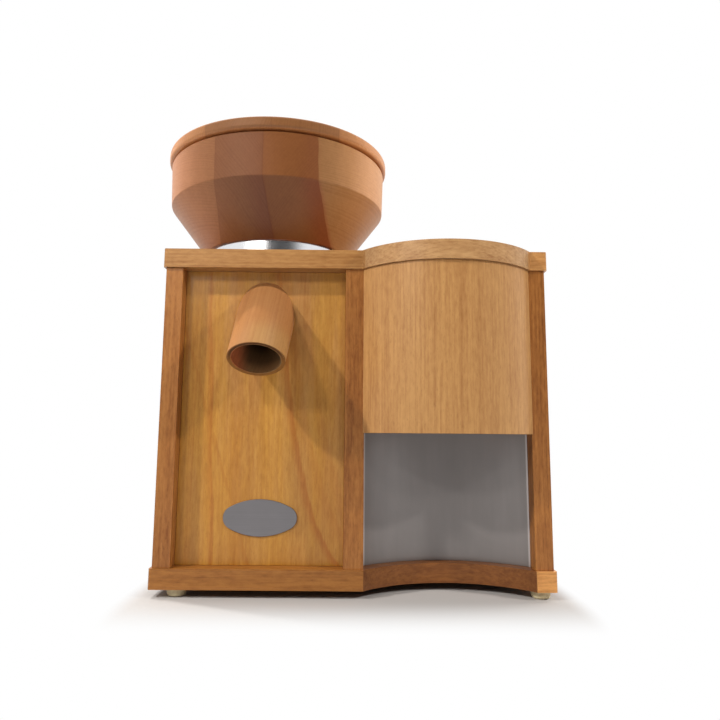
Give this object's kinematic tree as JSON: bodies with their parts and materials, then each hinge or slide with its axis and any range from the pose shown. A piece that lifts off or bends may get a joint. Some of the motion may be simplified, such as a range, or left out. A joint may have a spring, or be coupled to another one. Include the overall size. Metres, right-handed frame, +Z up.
{
  "type": "electric grain mill",
  "caption": "Wooden household grain mill and flaker in one case: turning hopper over grinding stones, slanted flour spout, and a bowed flaker front over a metal-lined bowl recess.",
  "frame": {"origin": "on the floor under the middle of the whole outline's bounding box, feet at Z = 0", "axes": "+X to the right seen from the front, +Y to the back, so the spout and the bowed front face -Y, and +Z up through the hopper"},
  "size_m": [0.3242, 0.2386, 0.372],
  "materials": {
    "beech_case": "oiled beech boards with visible straight grain",
    "beech_turned": "oiled beech, glued up in blocks and turned",
    "brushed_steel_sheet": "thin stainless sheet, fine brushed lines",
    "cast_aluminium": "turned and fine-blasted cast aluminium",
    "holder_plastic": "off-white food-grade moulded plastic",
    "grinding_stone": "coarse ceramic-bonded corundum",
    "zinc_plated_steel": "zinc-plated steel",
    "machined_steel": "ground and turned steel",
    "stator_steel": "varnished lamination stack",
    "copper_winding": "enamelled copper wire, as one mass",
    "fan_plastic": "moulded technical plastic",
    "capacitor_case": "drawn aluminium can",
    "gearmotor_paint": "grey painted steel housing",
    "bronze_bush": "sintered bronze",
    "switch_plastic": "black moulded plastic",
    "foot_rubber": "cream elastic rubber",
    "seal_rubber": "black felt-lined rubber ring"
  },
  "bodies": {
    "case": {"base_board": "beech_case", "top_board": "beech_case", "left_wall": "beech_case", "middle_wall": "beech_case", "right_wall": "beech_case", "front_panel": "beech_case", "bowed_panel": "beech_case", "bay_sheet": "brushed_steel_sheet", "bay_ceiling": "beech_case", "mill_back_panel": "beech_case", "flaker_back_panel": "beech_case", "back_cleats": "beech_case", "feet": "foot_rubber", "badge_plate": "brushed_steel_sheet", "spout": "beech_turned", "collar": "cast_aluminium", "grinding_chamber": "cast_aluminium", "shaft_seal": "seal_rubber", "stator_core": "stator_steel", "stator_windings": "copper_winding", "upper_shield": "cast_aluminium", "lower_shield": "cast_aluminium", "bearing_outer_rings": "machined_steel", "bearing_balls": "machined_steel", "motor_bolts": "zinc_plated_steel", "run_capacitor": "capacitor_case", "mill_switch_frame": "switch_plastic", "flaker_switch_frame": "switch_plastic", "cord_gland": "switch_plastic", "feed_funnel": "brushed_steel_sheet", "roller_bushes": "bronze_bush", "left_frame_plate": "zinc_plated_steel", "right_frame_plate": "zinc_plated_steel", "tie_bars": "zinc_plated_steel", "flake_chute": "brushed_steel_sheet", "flaker_gearmotor": "gearmotor_paint", "base_screws": "zinc_plated_steel", "panel_screws": "zinc_plated_steel", "collar_screws": "zinc_plated_steel", "frame_screws": "zinc_plated_steel"},
    "hopper": {"hopper": "beech_turned"},
    "hopper_lid": {"hopper_lid": "beech_turned"},
    "upper_stone": {"stone_holder": "holder_plastic", "upper_stone": "grinding_stone"},
    "runner": {"runner_stone": "grinding_stone", "runner_carrier": "cast_aluminium", "runner_nut": "zinc_plated_steel", "motor_shaft": "machined_steel", "rotor": "machined_steel", "bearing_inner_rings": "machined_steel", "cooling_fan": "fan_plastic"},
    "feed_lid": {"feed_lid": "beech_turned"},
    "front_roller": {"front_roller": "machined_steel", "front_gear": "machined_steel"},
    "back_roller": {"back_roller": "machined_steel", "back_gear": "machined_steel", "drive_gear": "fan_plastic"},
    "pinion": {"pinion_shaft": "machined_steel"},
    "mill_rocker": {"mill_rocker": "switch_plastic"},
    "flaker_rocker": {"flaker_rocker": "switch_plastic"}
  },
  "joints": [
    {"name": "hopper_turn", "type": "hinge", "parent": "case", "child": "hopper", "pos_m": [-0.0619, 0.01911, 0.2812], "axis": [0, 0, 1], "range_deg": [0, 300]},
    {"name": "stone_lift", "type": "slide", "parent": "hopper", "child": "upper_stone", "axis": [0, 0, 1], "range_m": [0, 0.0025]},
    {"name": "hopper_lid_lift", "type": "slide", "parent": "hopper", "child": "hopper_lid", "axis": [0, 0, 1], "range_m": [0, 0.06]},
    {"name": "motor_spin", "type": "hinge", "parent": "case", "child": "runner", "pos_m": [-0.0619, 0.01911, 0.2], "axis": [0, 0, 1], "continuous": true},
    {"name": "feed_lid_lift", "type": "slide", "parent": "case", "child": "feed_lid", "axis": [0, 0, 1], "range_m": [0, 0.06]},
    {"name": "back_roller_spin", "type": "hinge", "parent": "case", "child": "back_roller", "pos_m": [0.0821, -0.01869, 0.1755], "axis": [1, 0, 0], "continuous": true},
    {"name": "front_roller_spin", "type": "hinge", "parent": "case", "child": "front_roller", "pos_m": [0.0821, -0.05509, 0.1755], "axis": [1, 0, 0], "continuous": true},
    {"name": "pinion_spin", "type": "hinge", "parent": "case", "child": "pinion", "pos_m": [0.0821, 0.02931, 0.1755], "axis": [1, 0, 0], "continuous": true},
    {"name": "mill_rocker_press", "type": "hinge", "parent": "case", "child": "mill_rocker", "pos_m": [-0.1024, 0.10011, 0.215], "axis": [1, 0, 0], "range_deg": [-20, 0]},
    {"name": "flaker_rocker_press", "type": "hinge", "parent": "case", "child": "flaker_rocker", "pos_m": [0.1226, 0.10011, 0.215], "axis": [1, 0, 0], "range_deg": [-20, 0]}
  ],
  "couplings": [
    {"joint": "stone_lift", "follows": "hopper_turn", "m_per_rad": 0.00047746},
    {"joint": "front_roller_spin", "follows": "back_roller_spin", "ratio": -1},
    {"joint": "pinion_spin", "follows": "back_roller_spin", "ratio": -3.5714}
  ]
}
